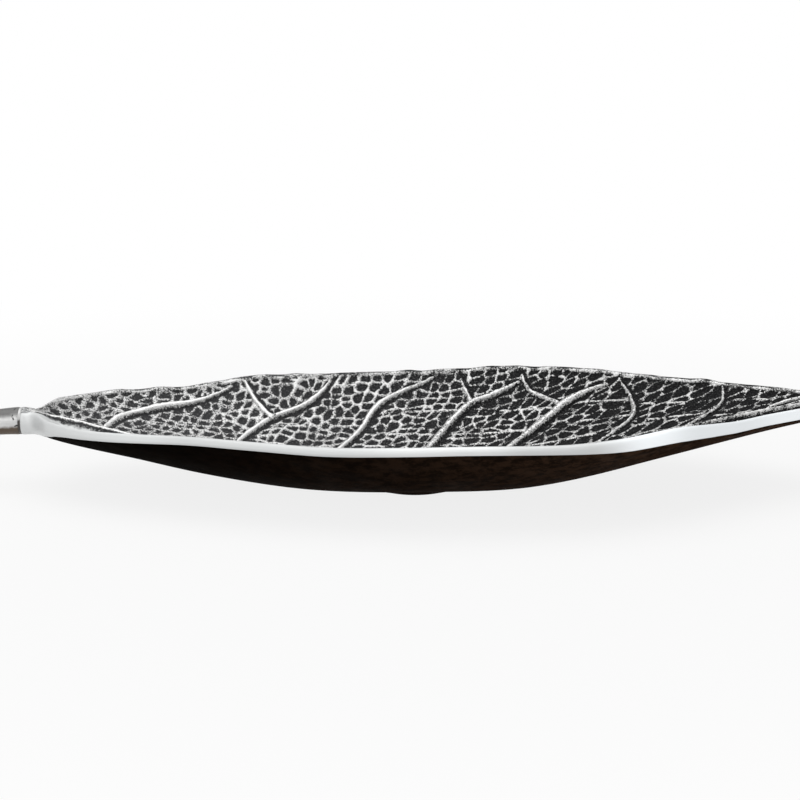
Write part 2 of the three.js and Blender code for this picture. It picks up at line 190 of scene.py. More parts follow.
class LeafSizes(bpy.types.PropertyGroup):
    """Sizes of the cast dish and of the relief on its face."""

    blade_span: bpy.props.FloatProperty(
        name="Blade span", description="Across the rim's middle line at the widest place",
        default=0.164, min=0.05, unit="LENGTH")
    bowl_depth: bpy.props.FloatProperty(
        name="Bowl depth", description="From the rim's line down to the keel",
        default=0.033, min=0.005, unit="LENGTH")
    bowl_power: bpy.props.FloatProperty(
        name="Bowl power", description="How flat the bowl is across its floor", default=2.2, min=1)
    tip_rise: bpy.props.FloatProperty(
        name="Tip rise", description="How much higher the rim is at the tip than at the heel",
        default=0.0063, unit="LENGTH")
    wave_height: bpy.props.FloatProperty(
        name="Wave height", description="Height of one wave of the margins", default=0.0014, unit="LENGTH")
    wall: bpy.props.FloatProperty(
        name="Wall", description="Thickness of the cast wall", default=0.0042, unit="LENGTH")
    rim_wall: bpy.props.FloatProperty(
        name="Rim", description="Thickness of the rounded rim", default=0.005, unit="LENGTH")
    heel_length: bpy.props.FloatProperty(
        name="Heel length", description="Over which the round stem flattens into the blade",
        default=0.052, unit="LENGTH")
    heel_depth: bpy.props.FloatProperty(
        name="Heel depth", description="From the rim's line down to the keel at the seam",
        default=0.0074, unit="LENGTH")
    keel_fall: bpy.props.FloatProperty(
        name="Keel fall", description="How steeply the keel runs down from the seam to the bowl", default=0.2)
    fullness: bpy.props.FloatProperty(
        name="Fullness", description="How much fuller the underside is than the plain wall",
        default=0.00035, unit="LENGTH")
    foot_drop: bpy.props.FloatProperty(
        name="Foot drop", description="How far the sole stands below the bowl", default=0.0005, unit="LENGTH")
    foot_margin: bpy.props.FloatProperty(
        name="Foot margin", description="Bare metal around the felt", default=0.003, unit="LENGTH")
    midrib_width: bpy.props.FloatProperty(
        name="Midrib width", description="At the heel", default=0.0056, unit="LENGTH")
    midrib_height: bpy.props.FloatProperty(
        name="Midrib height", description="At the heel", default=0.0023, unit="LENGTH")
    midrib_mound: bpy.props.FloatProperty(
        name="Midrib mound", description="Broad swelling under the midrib", default=0.0016, unit="LENGTH")
    vein_width: bpy.props.FloatProperty(
        name="Vein width", description="At its widest", default=0.0044, unit="LENGTH")
    vein_height: bpy.props.FloatProperty(
        name="Vein height", description="At its widest", default=0.0016, unit="LENGTH")
    rung_spacing: bpy.props.FloatProperty(
        name="Rung spacing", description="Between the cross veins", default=0.015, unit="LENGTH")
    pebble_length: bpy.props.FloatProperty(
        name="Pebble length", description="Spacing of the pits along the leaf", default=0.0064, unit="LENGTH")
    pebble_width: bpy.props.FloatProperty(
        name="Pebble width", description="Spacing of the pits across the leaf", default=0.0048, unit="LENGTH")
    pebble_depth: bpy.props.FloatProperty(
        name="Pebble depth", description="From the ridges down to the pit floors",
        default=0.001, unit="LENGTH")


class TrayFinish(bpy.types.PropertyGroup):
    """Colours of the finishes."""

    silver: bpy.props.FloatVectorProperty(
        name="Silver", description="Polished aluminium", subtype="COLOR", size=3, default=(0.68, 0.68, 0.675))
    rim: bpy.props.FloatVectorProperty(
        name="Rim", description="Polished rim", subtype="COLOR", size=3, default=(0.635, 0.645, 0.645))
    # Painted highlight: the rim's brighter, bluish tone towards the tip stands for light falling on it and
    # its reflection
    tip: bpy.props.FloatVectorProperty(
        name="Tip", description="Rim towards the tip, polished brighter", subtype="COLOR", size=3,
        default=(0.93, 0.96, 0.98))
    patina: bpy.props.FloatVectorProperty(
        name="Patina", description="Antiqued floors of the pits", subtype="COLOR", size=3,
        default=(0.026, 0.026, 0.027))
    underside: bpy.props.FloatVectorProperty(
        name="Underside", description="Dark lacquer below the rim", subtype="COLOR", size=3,
        default=(0.001, 0.0006, 0.0003))
    brown: bpy.props.FloatVectorProperty(
        name="Brown", description="Lacquer below the tip, where it turns brown", subtype="COLOR", size=3,
        default=(0.044, 0.024, 0.0145))
    # Painted shade on the stem: grey above, and darker below with a painted brown reflection
    stem_top_shade: bpy.props.FloatVectorProperty(
        name="Stem top", description="Stem, dulled above", subtype="COLOR", size=3,
        default=(0.15, 0.15, 0.148))
    stem_low_shade: bpy.props.FloatVectorProperty(
        name="Stem low", description="Stem, stained below", subtype="COLOR", size=3,
        default=(0.115, 0.09, 0.07))
    filler: bpy.props.FloatVectorProperty(
        name="Filler", description="Oxidised braze", subtype="COLOR", size=3, default=(0.06, 0.052, 0.046))
    steel: bpy.props.FloatVectorProperty(
        name="Steel", description="Darkest tone of the pin", subtype="COLOR", size=3,
        default=(0.4, 0.41, 0.42))
    steel_bright: bpy.props.FloatVectorProperty(
        name="Bright steel", description="Brightest tone of the pin", subtype="COLOR", size=3,
        default=(0.62, 0.63, 0.64))
    felt: bpy.props.FloatVectorProperty(
        name="Felt", description="Pad under the foot", subtype="COLOR", size=3, default=(0.03, 0.027, 0.025))


class TrayStage(bpy.types.PropertyGroup):
    """The camera, the floor and the light."""

    camera_distance: bpy.props.FloatProperty(
        name="Distance", description="From the leaf's axis, level", default=0.8, unit="LENGTH")
    camera_height: bpy.props.FloatProperty(
        name="Height", description="Above the floor", default=0.2188, unit="LENGTH")
    camera_side: bpy.props.FloatProperty(
        name="Side", description="Along the leaf", default=0.0043, unit="LENGTH")
    camera_tilt: bpy.props.FloatProperty(
        name="Tilt", description="Downwards", default=math.radians(12.53), subtype="ANGLE")
    camera_width: bpy.props.FloatProperty(
        name="Width", description="Width of the view as an angle",
        default=math.radians(25.76), subtype="ANGLE")
    floor: bpy.props.FloatVectorProperty(
        name="Floor", description="Pale floor", subtype="COLOR", size=3, default=(0.9, 0.9, 0.9))
    floor_glow: bpy.props.FloatProperty(
        name="Floor glow", description="Share of plain white in the floor beside the tray", default=0.84)
    glow_start: bpy.props.FloatProperty(
        name="Glow start", description="From the origin to where the floor begins to turn white",
        default=0.15, unit="LENGTH")
    glow_full: bpy.props.FloatProperty(
        name="Glow full", description="From the origin to where the floor is white",
        default=0.6, unit="LENGTH")
    sky_light: bpy.props.FloatProperty(
        name="Sky light", description="Strength of the plain light from all round", default=0.45)
    sky_top: bpy.props.FloatProperty(
        name="Sky top", description="How bright the white surroundings are overhead", default=0.8)


def curve(points):
    """A smooth function through a few points."""
    x = np.array([p[0] for p in points], float)
    y = np.array([p[1] for p in points], float)
    slope = np.empty_like(y)
    slope[1:-1] = (y[2:] - y[:-2]) / (x[2:] - x[:-2])
    slope[0] = (y[1] - y[0]) / (x[1] - x[0])
    slope[-1] = (y[-1] - y[-2]) / (x[-1] - x[-2])

    def value(at):
        at = np.clip(at, x[0], x[-1])
        i = np.clip(np.searchsorted(x, at, "right") - 1, 0, len(x) - 2)
        width = x[i + 1] - x[i]
        t = (at - x[i]) / width
        ease = t * t * (3 - 2 * t)
        leave = t * (1 - t) ** 2 * width * slope[i]
        arrive = t * t * (t - 1) * width * slope[i + 1]
        return y[i] + (y[i + 1] - y[i]) * ease + leave + arrive

    return value


def step(low, high, value):
    """A smooth step from 0 at low to 1 at high."""
    t = np.clip((value - low) / (high - low), 0, 1)
    return t * t * (3 - 2 * t)


def mix(a, b, share):
    """A blend from a to b."""
    return a + (b - a) * share


def cloud(across, along, name):
    """Smooth noise from 0 to 1 over a plane, with one random value at each whole number."""
    lattice = np.random.default_rng(SEEDS[name]).random((LATTICE, LATTICE))
    i = np.floor(along).astype(int)
    j = np.floor(across).astype(int)
    s = step(0, 1, along - i)
    t = step(0, 1, across - j)
    i0, i1 = i % LATTICE, (i + 1) % LATTICE
    j0, j1 = j % LATTICE, (j + 1) % LATTICE
    near = mix(lattice[i0, j0], lattice[i1, j0], s)
    far = mix(lattice[i0, j1], lattice[i1, j1], s)
    return mix(near, far, t)


def pebble_edge(along, across, jitter, round_off):
    """How far inside its own pit each place is, in pits: 0 on the ridges, with the corners rounded off."""
    place = np.random.default_rng(SEEDS["pits"]).random((LATTICE, LATTICE, 2))
    place = 0.5 + (place - 0.5) * jitter
    i = np.floor(along).astype(int)
    j = np.floor(across).astype(int)

    def to_middle(di, dj):
        middle = place[(i + di) % LATTICE, (j + dj) % LATTICE]
        return i + di + middle[..., 0] - along, j + dj + middle[..., 1] - across

    nearest = np.full(along.shape, np.inf)
    own = np.zeros((2, *along.shape))
    for di in (-1, 0, 1):
        for dj in (-1, 0, 1):
            a, c = to_middle(di, dj)
            closer = a * a + c * c < nearest
            nearest = np.where(closer, a * a + c * c, nearest)
            own = np.where(closer, (a, c), own)
    crowd = np.zeros(along.shape)
    for di in range(-2, 3):
        for dj in range(-2, 3):
            a, c = to_middle(di, dj)
            apart = np.hypot(a - own[0], c - own[1])
            border = (a * a + c * c - nearest) / (2 * np.maximum(apart, 1e-6))
            crowd += np.where(apart > 1e-6, np.exp(-border / round_off), 0)
    return -np.log(crowd) * round_off


def near_line(points, line):
    """The distance of each point from a line of places, and the share along it of the nearest one."""
    best = np.full(points.shape[:-1], np.inf)
    share = np.zeros(points.shape[:-1])
    for k in range(len(line) - 1):
        run = line[k + 1] - line[k]
        t = np.clip(((points - line[k]) @ run) / (run @ run), 0, 1)
        gap = np.linalg.norm(points - line[k] - t[..., None] * run, axis=-1)
        closer = gap < best
        best = np.where(closer, gap, best)
        share = np.where(closer, (k + t) / (len(line) - 1), share)
    return best, share


def smooth_line(points, steps):
    """More places on the smooth line through a few points given as shares."""
    places = np.array(points, float) * (5, 1)
    at = np.concatenate([[0], np.cumsum(np.linalg.norm(np.diff(places, axis=0), axis=1))])
    t = np.linspace(0, at[-1], steps)
    along = curve(list(zip(at, [p[0] for p in points])))
    across = curve(list(zip(at, [p[1] for p in points])))
    return along(t), across(t)


class Leaf:
    """The dish's shape: upright sections from the seam to the tip."""

    def __init__(self, sizes):
        self.sizes = sizes
        self.outline = curve(OUTLINE)
        self.depth = curve(DEPTH)
        self.rear_wave = curve(REAR_WAVE)
        self.front_wave = curve(FRONT_WAVE)
        self.front_swell = curve(FRONT_SWELL)
        self.seam_x = SEAM_HIGH.x
        self.tip_x = DISH_HIGH.x - sizes.rim_wall / 2
        self.heel_x = self.seam_x + 3 * MM
        self.stem_radius = (STEM_HIGH.y - STEM_LOW.y) / 2
        self.stem_z = (SEAM_LOW.z + SEAM_HIGH.z) / 2
        self.sole_z = FELT_HIGH.z
        self.foot_x = (FELT_LOW.x + FELT_HIGH.x) / 2
        self.foot_radius = (FELT_HIGH.x - FELT_LOW.x) / 2 + sizes.foot_margin
        self.rim_z = self.sole_z + sizes.foot_drop + sizes.wall / 2 + sizes.bowl_depth

    def share(self, x):
        """Share along the blade."""
        return np.clip((x - self.heel_x) / (self.tip_x - self.heel_x), 0, 1)

    def from_seam(self, x, length):
        """0 at the seam, 1 beyond a length from it."""
        return step(0, length, x - self.seam_x)

    def stem_left(self, x, length):
        """1 at the seam, falling soon and then slowly to 0 at a length from it."""
        return np.clip(1 - (x - self.seam_x) / length, 0, 1) ** 2

    def rim_thickness(self, x, v):
        """The round stem thins to the rim, which is thicker where the margin runs aslant or swells."""
        share = self.share(x)
        slope = (self.outline(share + 0.01) - self.outline(share - 0.01)) * self.sizes.blade_span / 2
        aslant = np.hypot(1, slope / (0.02 * (self.tip_x - self.heel_x)))
        rim = self.sizes.rim_wall * mix(1, np.minimum(aslant, 1.25), step(0.2, 0.4, share))
        rim = rim + np.where(v < 0, self.front_swell(share), 0) * self.sizes.wave_height
        left = self.stem_left(x, np.where(v > 0, 0.4, 0.65) * self.sizes.heel_length)
        return mix(rim, 2 * self.stem_radius, left)

    def keel(self, x):
        """How much thicker the wall is below, where a straight keel runs from the stem to the bowl."""
        straight = self.sizes.heel_depth + self.sizes.keel_fall * (x - self.seam_x)
        bowl = self.sizes.bowl_depth * self.depth(self.share(x)) * self.from_seam(x, BOWL_START)
        more = straight - bowl - self.sizes.wall / 2
        return (more + np.hypot(more, 0.6 * MM)) / 2 * (1 - self.from_seam(x - 45 * MM, 20 * MM))

    def thickness(self, x, v, side):
        """From the middle of the wall to one of its skins."""
        rim = np.where(side < 0, self.rim_thickness(x, v) - self.sizes.rim_wall / 2, self.sizes.rim_wall / 2)
        full = self.sizes.fullness * mix(1, 1.9, step(0.6, 0.8, self.share(x)))
        more = np.where(side < 0, self.keel(x) * (1 - v * v) + full, 0)
        return mix(self.sizes.wall / 2 + more, rim, step(0.85, 1, np.abs(v)))

    def half_span(self, x, v):
        """From the axis to the rim's middle line, which lies further in where the rim is thicker."""
        half = self.outline(self.share(x)) * self.sizes.blade_span / 2
        swell = (self.rim_thickness(x, v) - self.sizes.rim_wall) / 2
        return np.maximum(half - swell, 0.5 * MM)

    def middle(self, x, v):
        """Across and up: the middle of the wall."""
        share = self.share(x)
        off = np.abs(v)
        knobs = (cloud(np.zeros_like(share), KNOBS * share, "knobs") - 0.5) * step(0.02, 0.08, share)
        rear = self.rear_wave(share) + KNOB_HEIGHT * knobs
        front = self.front_wave(share) + SWELL_LIFT * self.front_swell(share)
        wave = np.where(v > 0, rear, front) * off ** 4 * self.sizes.wave_height
        rim = self.rim_z + self.sizes.tip_rise * (share - DEEPEST) + wave
        drop = self.sizes.bowl_depth * self.depth(share) * (1 - off ** self.sizes.bowl_power)
        return v * self.half_span(x, v), rim - drop * self.from_seam(x, BOWL_START)

    def lean(self, x, v):
        """Directions across the wall's middle and up out of it, in the section's plane."""
        little = 1e-4
        y1, z1 = self.middle(x, v + little)
        y0, z0 = self.middle(x, v - little)
        length = np.hypot(y1 - y0, z1 - z0)
        return (y1 - y0) / length, (z1 - z0) / length

    def skin(self, x, v, side):
        """A place on the face (side 1) or on the underside (side -1)."""
        y, z = self.middle(x, v)
        ty, tz = self.lean(x, v)
        half = self.thickness(x, v, side) * side
        return y - tz * half, z + ty * half


def object_of(bm, name):
    """An object at the origin with the mesh that was modelled for it."""
    mesh = bpy.data.meshes.new(name)
    bm.to_mesh(mesh)
    bm.free()
    made = bpy.data.objects.new(name, mesh)
    bpy.context.scene.collection.objects.link(made)
    return made


def cast(name, place, marks):
    """A closed piece from rings of places round it, with named marks for its material."""
    rings, sides = place.shape[:2]
    bm = bmesh.new()
    bmesh.ops.create_grid(bm, x_segments=rings - 1, y_segments=sides, size=1)
    made = object_of(bm, name)
    mesh = made.data
    flat = np.empty(len(mesh.vertices) * 3)
    mesh.vertices.foreach_get("co", flat)
    flat = flat.reshape(-1, 3)
    ring = np.rint((flat[:, 0] + 1) / 2 * (rings - 1)).astype(int)
    side = np.rint((flat[:, 1] + 1) / 2 * sides).astype(int) % sides
    mesh.vertices.foreach_set("co", place[ring, side].astype(np.float32).ravel())
    for mark, values in marks.items():
        data = mesh.attributes.new(mark, "FLOAT", "POINT").data
        data.foreach_set("value", values[ring, side].astype(np.float32).ravel())
    closed(mesh)
    return made


def closed(mesh):
    """Welds the seam and the poles of a mesh, fills its open ends and turns its faces outwards."""
    bm = bmesh.new()
    bm.from_mesh(mesh)
    border = [v for v in bm.verts if v.is_boundary]
    bmesh.ops.remove_doubles(bm, verts=border, dist=WELD)
    open_edges = [e for e in bm.edges if e.is_boundary]
    bmesh.ops.holes_fill(bm, edges=open_edges, sides=0)
    bmesh.ops.recalc_face_normals(bm, faces=bm.faces)
    for face in bm.faces:
        face.smooth = True
    bm.to_mesh(mesh)
    bm.free()
    mesh.update()


EVERYWHERE = slice(None), slice(None)


class Relief:
    """Heights on the dish's face above its bare skin, and how bright each place of it is worn, darkened by
    painted shade beside the veins, under the midrib's crest and on the heel's top.
    """

    def __init__(self, leaf, x, v):
        self.leaf = leaf
        self.x = x[:, 0]
        y, z = leaf.skin(x, v, 1)
        self.points = np.stack([np.broadcast_to(x, y.shape), y, z], axis=-1)
        run = np.zeros_like(y)
        run[:, 1:] = np.cumsum(np.hypot(np.diff(y, axis=1), np.diff(z, axis=1)), axis=1)
        self.centre = run.shape[1] // 2
        self.from_front = run
        self.from_rear = run[:, -1:] - run
        self.arc = run - run[:, [self.centre]]
        self.half_arc = run[:, -1:] / 2
        # Painted shade: the heel's top near the seam is greyer, as the stem's top is
        self.painted_shade = mix(0.42, 1, step(2 * MM, 10 * MM, x - leaf.seam_x))
        self.from_crest = self.arc + 0.85 * self.half_arc * (1 - step(0, 14 * MM, x - leaf.seam_x))
        self.along = np.broadcast_to(x - leaf.seam_x, y.shape)
        self.share = np.broadcast_to(leaf.share(x), y.shape)
        self.floor = -leaf.sizes.pebble_depth
        self.torn = self.cloud(1.1, 1.1, "torn") - 0.5
        self.torn += 0.6 * self.cloud(0.6, 0.6, "fine_torn") - 0.3
        self.bright = self.pebbles(leaf.sizes)
        self.rungs(leaf.sizes)
        self.height = self.floor * (1 - self.bright)
        self.veins(leaf.sizes)
        self.midrib(leaf.sizes)
        self.margins(leaf)

    def cloud(self, across, along, name, window=EVERYWHERE):
        """Noise on the face, with the spacing of its random values in millimetres."""
        return cloud(self.arc[window] / (across * MM), self.along[window] / (along * MM), name)

    def pebbles(self, sizes):
        """1 on the ridges between the pits, 0 on their floors."""
        pitch = sizes.pebble_length * curve(PIT_LENGTH)(self.share[:, 0])
        along = np.concatenate([[0], np.cumsum(np.diff(self.x) / pitch[1:])])[:, None]
        spread = curve(PIT_WIDTH)(self.share)
        off = np.abs(self.arc) / self.half_arc
        crowd = mix(curve(PIT_CROWD)(self.share), 1, step(0, 0.7, off))
        crowd = crowd * (1 - 0.24 * off ** 2 * (1 - step(0.4, 0.6, self.share)))
        across = np.zeros_like(self.arc)
        across[:, 1:] = np.cumsum((crowd[:, 1:] + crowd[:, :-1]) / 2 * np.diff(self.arc, axis=1), axis=1)
        across = (across - across[:, [self.centre]]) / sizes.pebble_width / spread
        climb = 0.35 * np.maximum(along - np.interp(0.72, self.share[:, 0], along[:, 0]), 0)
        along = along - 0.3 * np.abs(across)
        across = across - np.sign(self.arc) * climb
        warp, sway = (cloud(across / 1.9, along / 1.9, name) - 0.5 for name in ("warp", "sway"))
        edge = pebble_edge(along + 0.7 * warp, across + 0.7 * sway, jitter=0.64, round_off=0.08)
        broad = cloud(across / 1.4, along / 1.4, "ridge_width")
        broad = curve(RIDGE_WIDTH)(self.share) * mix(0.55, 1.25, broad)
        ridge = 1 - step(0.3 * broad, broad, edge + mix(0.13, 0.09, self.share) * self.torn)
        patchy = step(0.2, 0.7, cloud(across / 1.2, along / 1.2, "ridge_tone"))
        return ridge * curve(RIDGE_TONE)(self.share) * mix(curve(RIDGE_LEAST)(self.share), 1.1, patchy)

    def rungs(self, sizes):
        """Cross veins from each side vein to the next, as broken ridges in the net."""
        for side, stagger in ((1, 0), (-1, STAGGER)):
            columns = slice(self.centre, None) if side > 0 else slice(0, self.centre)
            for (_, near), (_, far) in zip(VEINS[:MAIN_VEINS - 1], VEINS[1:MAIN_VEINS]):
                between = (near[1][0] + far[1][0]) / 2
                gap = sizes.rung_spacing / (self.leaf.outline(between) * sizes.blade_span / 2)
                for across in np.arange(gap, RUNG_END, gap):
                    ends = [np.interp(across, *zip(*[(v, u) for u, v in places])) for places in (near, far)]
                    line = self.line([(ends[0], across), (ends[1], across)], side, stagger)
                    window = slice(*np.searchsorted(self.x, (line[0, 0], line[-1, 0]))), columns
                    off, _ = near_line(self.points[window], line[::7])
                    ridge = 1 - step(0.2 * MM, 0.9 * MM, off + 0.5 * MM * self.torn[window])
                    ridge = 0.75 * ridge * step(0.3, 0.6, self.cloud(6, 5, "rungs", window))
                    self.bright[window] = np.maximum(self.bright[window], ridge)

    def veins(self, sizes):
        """Knotted side veins, each with a dark groove on its shadow side. All grooves are cut first."""
        vein, branch = curve(VEIN_SWELL), curve(BRANCH_SWELL)
        ribs = []
        for side, stagger in ((1, 0), (-1, STAGGER)):
            over = 8  # columns past the middle, so that the veins meet under the midrib
            columns = slice(self.centre - over, None) if side > 0 else slice(0, self.centre + over + 1)
            for number, (size, places) in enumerate(VEINS):
                line = self.line(places, side, stagger)
                ends = line[:, 0].min() - 9 * MM, line[:, 0].max() + 9 * MM
                window = slice(*np.searchsorted(self.x, ends)), columns
                gap, t = near_line(self.points[window], line)
                shadow, _ = near_line(self.points[window], line + np.array([SHADOW_SIDE, 0, 0]))
                knots = cloud(t * 9, np.full_like(t, number + 20 * side), "knots")
                swell = (vein if number < MAIN_VEINS else branch)(t) * mix(0.8, 1.2, knots)
                half = size * sizes.vein_width / 2 * swell
                rough = self.torn[window]
                crown = np.clip(1 - ((gap + 0.55 * MM * rough) / half) ** 2, 0, 1) ** 0.6
                self.cut(window, 1 - step(half * 0.9, half + 0.9 * MM, shadow + 0.8 * MM * rough))
                # Painted shade: the vein's own flank on its shadow side is darkened by the shadow tones
                shaded = step(-0.2, 1.1, (gap - shadow) / SHADOW_SIDE)
                shade_and_mottle = 1 - shaded * SHADOW_TONES[min(number, 1)]
                ribs.append((window, crown, sizes.vein_height * size * swell, shade_and_mottle))
        for rib in ribs:
            self.lift(*rib)

    def midrib(self, sizes):
        """A crest along the middle: smooth in front of it at the heel, and further on with a groove there."""
        tip = step(0.62, 0.82, self.share)
        half = sizes.midrib_width / 2 * mix(1, 0.45, self.share) * mix(1, 0.68, tip)
        rise = curve(MIDRIB_RISE)(self.along / MM)
        groove = np.abs(self.from_crest + half + 0.9 * MM) + 0.7 * MM * self.torn
        self.cut(EVERYWHERE, (1 - step(1.1 * MM, 1.9 * MM, groove)) * step(25 * MM, 45 * MM, self.along))
        crown = np.clip(1 - ((self.from_crest + 0.3 * MM * self.torn) / half) ** 2, 0, 1) ** 0.8
        # Painted shade: a dark line just in front of the crest near the heel, where no groove is cut
        crest_front_shade = step(-1.2 * MM, -0.85 * MM, self.from_crest + 0.25 * MM * self.torn)
        shade_and_mottle = mix(crest_front_shade, 1, step(45 * MM, 70 * MM, self.along))
        patchy = step(0.3, 0.7, self.cloud(1.5, 2.5, "midrib"))
        shade_and_mottle = shade_and_mottle * mix(1, mix(0.35, 0.9, patchy), tip)
        self.lift(EVERYWHERE, crown, sizes.midrib_height * mix(1, 0.7, self.share) * rise, shade_and_mottle)
        mound = sizes.midrib_mound * (1 - step(0, 10 * MM, np.abs(self.from_crest)))
        mound = mound * (1 - step(0.93, 1, self.share))
        # The smooth flank beside the stem, with painted shade in a grey band just below the crest
        flank = step(-1.8 * MM, -2.1 * MM, self.from_crest + 0.6 * MM * self.torn)
        flank = flank * (1 - step(30 * MM, 48 * MM, self.along))
        flank = flank * step(-13 * MM, -8 * MM, self.from_crest + 3 * MM * self.torn)
        flank_top_shade = step(-4.2 * MM, -2 * MM, self.from_crest + 1.6 * MM * self.torn)
        flank_top_shade = flank_top_shade * step(4 * MM, 10 * MM, self.along)
        self.flank = flank
        self.height = mix(self.height, np.maximum(self.height, 0), flank) + mound * rise
        self.bright = mix(self.bright, 1 - 0.6 * flank_top_shade, flank)

    def cut(self, window, groove):
        """Sinks a groove to the pit floors and leaves it dark."""
        self.height[window] = mix(self.height[window], self.floor, groove)
        self.bright[window] = self.bright[window] * (1 - groove)

    def lift(self, window, crown, tall, shade_and_mottle):
        """Raises a rounded rib from the pit floors, worn bright along its crest, with the painted shade and
        mottle it is given.
        """
        rib = np.where(crown > 0, mix(self.floor, tall, crown), self.floor)
        self.height[window] = np.maximum(self.height[window], rib)
        self.bright[window] = np.where(crown > 0.25, step(0.3, 0.75, crown) * shade_and_mottle, self.bright[window])

    def margins(self, leaf):
        """The relief dies out raggedly at the rim, at the heel and at the tip."""
        torn = self.cloud(1.4, 2.4, "margin")
        rear = step(0, 0.6 * MM, self.from_rear - 0.5 * MM * torn)
        bare = 3.4 * MM * step(0.58, 0.72, self.share)
        front = step(0.2 * MM, 1.6 * MM, self.from_front - 1.4 * MM * torn - bare)
        heel = step(1 * MM, 6 * MM, self.along - 2 * MM * torn)
        tip = 1 - step(-5 * MM, -1 * MM, self.along - (leaf.tip_x - leaf.seam_x))
        keep = rear * front * heel * tip
        mottle = cloud(self.from_rear / (1.6 * MM), self.along / (2.6 * MM), "rear_edge")
        mottle = mix(0.3, 1, step(0.35, 0.65, mottle))
        plain = np.where(self.arc > 0, mix(1, mottle, heel * tip), 1)
        self.height = self.height * keep
        # Painted shade on the heel's top, from the crest rearwards
        self.bright = mix(plain, self.bright, keep) * mix(1, self.painted_shade, step(-3 * MM, 0, self.from_crest))

    def line(self, places, side, stagger):
        """Places in space along a vein that is given by shares."""
        share, across = smooth_line(places, 22)
        x = mix(self.leaf.heel_x, self.leaf.tip_x, share - stagger)
        y, z = self.leaf.skin(x, across * side, 1)
        return np.stack([x, y, z], axis=-1)


def dish_sections(leaf):
    """Places and marks of the dish, ring by ring from the seam and column by column round each ring.

    A ring goes over the face from front to rear, round the rear rim, under the blade and up the front rim.
    """
    nose = leaf.sizes.rim_wall / 2
    turn = np.linspace(0, math.pi / 2, NOSE_STEPS + 1)[1:]
    body = np.linspace(leaf.seam_x, leaf.tip_x, DISH_STEPS)
    x = np.concatenate([body, leaf.tip_x + nose * np.sin(turn)])[:, None]
    shrink = np.concatenate([np.ones(DISH_STEPS), np.cos(turn)])[:, None]
    face_v = np.linspace(-1, 1, FACE_STEPS + 1)[None, :]
    spread = np.linspace(1, -1, UNDER_STEPS + 1)
    under_v = (np.sign(spread) * np.abs(spread) ** 1.5)[None, :]
    turns = np.linspace(math.pi / 2, -math.pi / 2, EDGE_STEPS + 2)[1:-1][None, :]

    relief = Relief(leaf, x, face_v)
    y, z = leaf.skin(x, face_v, 1)
    ty, tz = leaf.lean(x, face_v)
    face = (y - tz * relief.height, z + ty * relief.height)

    def edge(v):
        y, z = leaf.middle(x, np.full_like(turns, v))
        ty, tz = leaf.lean(x, np.full_like(turns, v))
        half = leaf.rim_thickness(x, v) / 2
        out = np.cos(turns) ** 0.75 * half * v
        up = np.sign(np.sin(turns)) * np.abs(np.sin(turns)) ** 0.75 * half - half + leaf.sizes.rim_wall / 2
        return y + ty * out - tz * up, z + tz * out + ty * up

    rear, front = edge(1), edge(-1)
    y, z = leaf.skin(x, under_v, -1)
    reach = np.hypot(x - leaf.foot_x, y)
    foot = 1 - step(leaf.foot_radius - 1 * MM, leaf.foot_radius + 5 * MM, reach)
    under = (y, mix(z, np.minimum(z, leaf.sole_z), foot))

    # The round section of the stem, out of which the blade grows
    radius = leaf.stem_radius
    quarter = math.pi / 4
    ones = np.ones_like(x)
    round_face = (radius * np.sin(quarter * face_v) * ones, radius * np.cos(quarter * face_v) * ones)
    round_rear = (radius * np.cos(turns / 2) * ones, radius * np.sin(turns / 2) * ones)
    round_under = (radius * np.sin(quarter * under_v) * ones, -radius * np.cos(quarter * under_v) * ones)
    round_front = (-radius * np.cos(turns / 2) * ones, radius * np.sin(turns / 2) * ones)

    def joined(a, b, c, d, k):
        return np.concatenate([a[k], b[k], c[k], d[k][:, ::-1]], axis=1)

    blade_y, blade_z = (joined(face, rear, under, front, k) for k in (0, 1))
    stem_y, stem_z = (joined(round_face, round_rear, round_under, round_front, k) for k in (0, 1))
    grown = leaf.from_seam(x, 15 * MM)
    y = mix(stem_y, blade_y, grown)
    z = mix(stem_z + leaf.stem_z, blade_z, grown)
    # A small lip at the seam, and the rounded nose at the tip
    lip = 1 - 0.02 * (1 - step(0, 0.7 * MM, x - leaf.seam_x))
    y = y * lip
    z = leaf.stem_z + (z - leaf.stem_z) * np.where(x < leaf.seam_x + MM, lip, 1)
    core_z = leaf.middle(x, np.zeros_like(x))[1]
    y = y * shrink
    z = mix(core_z, z, shrink)
    place = np.stack([np.broadcast_to(x, y.shape), y, z], axis=-1)

    return place, dish_marks(leaf, relief, x, turns, under_v)


def dish_marks(leaf, relief, x, turns, under_v):
    """How bright each place of the dish is worn, with painted shade on the heel's top, whether it lies below
    the rim, and where it is polished.
    """
    behind = x - leaf.seam_x
    rim = np.ones((len(x), turns.shape[1]))
    plain = np.ones((len(x), under_v.shape[1]))
    low_edge = -turns / (math.pi / 2) * rim
    low_under = (2 - np.abs(under_v)) * plain
    start = curve(UNDERSIDE_START)(behind / MM)
    dark_edge, dark_under = (step(start - 0.06, start + 0.06, low) for low in (low_edge, low_under))
    worn = cloud(turns * 2.5 * rim, behind / (2.2 * MM), "rear_rim")
    worn = mix(1, 0.62 * step(0.32, 0.78, worn), step(-0.2, 0.3, turns) * leaf.from_seam(x, 40 * MM))
    face_polish = np.maximum(1 - step(0, 1.5 * MM, relief.from_front), relief.flank)
    return {
        "bright": np.concatenate([relief.bright, worn * rim * relief.painted_shade, plain, rim], axis=1),
        "below": np.concatenate([0 * relief.bright, dark_edge, dark_under, dark_edge[:, ::-1]], axis=1),
        "polish": np.concatenate([face_polish, rim * step(0.3, -0.2, turns), plain, rim], axis=1),
    }


